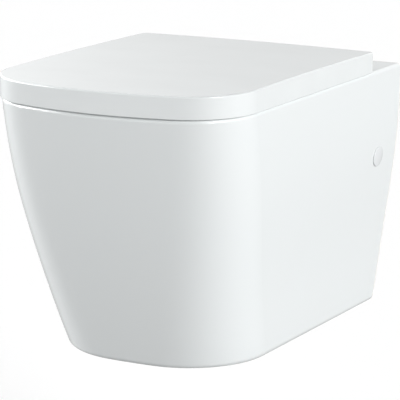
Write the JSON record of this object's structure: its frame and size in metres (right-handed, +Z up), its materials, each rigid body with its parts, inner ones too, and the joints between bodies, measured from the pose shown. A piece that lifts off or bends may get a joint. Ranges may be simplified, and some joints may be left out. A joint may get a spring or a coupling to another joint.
{
  "type": "wall hung toilet",
  "caption": "Wall hung toilet pan with shrouded sides, rimless bowl, soft-close seat and wrap-over lid on quick-release hinges.",
  "frame": {"origin": "middle of the two wall studs, on the finished wall", "axes": "+X to the right as seen from the front, +Y into the wall, +Z up"},
  "size_m": [0.36, 0.6255, 0.3756],
  "materials": {
    "ceramic": "white glaze, high gloss",
    "seat_plastic": "white thermoset, high gloss",
    "buffer_rubber": "soft pale grey rubber",
    "seal_rubber": "black rubber",
    "hinge_chrome": "polished chrome plate",
    "pin_steel": "stainless steel, fine brushed",
    "zinc_steel": "zinc plated steel",
    "nylon": "natural nylon",
    "damper_plastic": "dark grey moulded plastic",
    "cap_plastic": "white plastic, gloss",
    "pipe_plastic": "white pipe plastic",
    "waste_plastic": "black pipe plastic"
  },
  "bodies": {
    "pan": {"ceramic_pan": "ceramic", "hinge_pins": "pin_steel", "hinge_pegs": "pin_steel", "hinge_base_left": "hinge_chrome", "hinge_base_right": "hinge_chrome", "hinge_post_left": "hinge_chrome", "hinge_post_right": "hinge_chrome", "anchor_bushes": "seal_rubber", "anchor_nuts": "zinc_steel", "wall_bracket_left": "zinc_steel", "wall_bracket_right": "zinc_steel", "stud_washers": "zinc_steel", "stud_nuts": "zinc_steel", "clamp_blocks": "nylon", "clamp_washers": "nylon", "clamp_screws": "zinc_steel", "side_cap_left": "cap_plastic", "side_cap_right": "cap_plastic", "flush_pipe": "pipe_plastic", "flush_seal": "seal_rubber", "waste_pipe": "waste_plastic", "waste_seal": "seal_rubber"},
    "seat": {"seat_ring": "seat_plastic", "seat_buffers": "buffer_rubber", "seat_bushes": "nylon", "seat_damper": "damper_plastic"},
    "lid": {"lid": "seat_plastic", "lid_buffers": "buffer_rubber", "lid_bushes": "nylon", "lid_damper": "damper_plastic"},
    "latch_left": {"release_button_left": "hinge_chrome"},
    "latch_right": {"release_button_right": "hinge_chrome"}
  },
  "joints": [
    {"name": "seat_lift", "type": "hinge", "parent": "pan", "child": "seat", "pos_m": [0, -0.1, 0.1105], "axis": [-1, 0, 0], "range_deg": [0, 95]},
    {"name": "lid_lift", "type": "hinge", "parent": "seat", "child": "lid", "pos_m": [0, -0.1, 0.1105], "axis": [-1, 0, 0], "range_deg": [0, 90]},
    {"name": "release_left", "type": "slide", "parent": "pan", "child": "latch_left", "axis": [0, 1, 0], "range_m": [0, 0.0032], "stiffness_N_per_m": 400},
    {"name": "release_right", "type": "slide", "parent": "pan", "child": "latch_right", "axis": [0, 1, 0], "range_m": [0, 0.0032], "stiffness_N_per_m": 400}
  ]
}
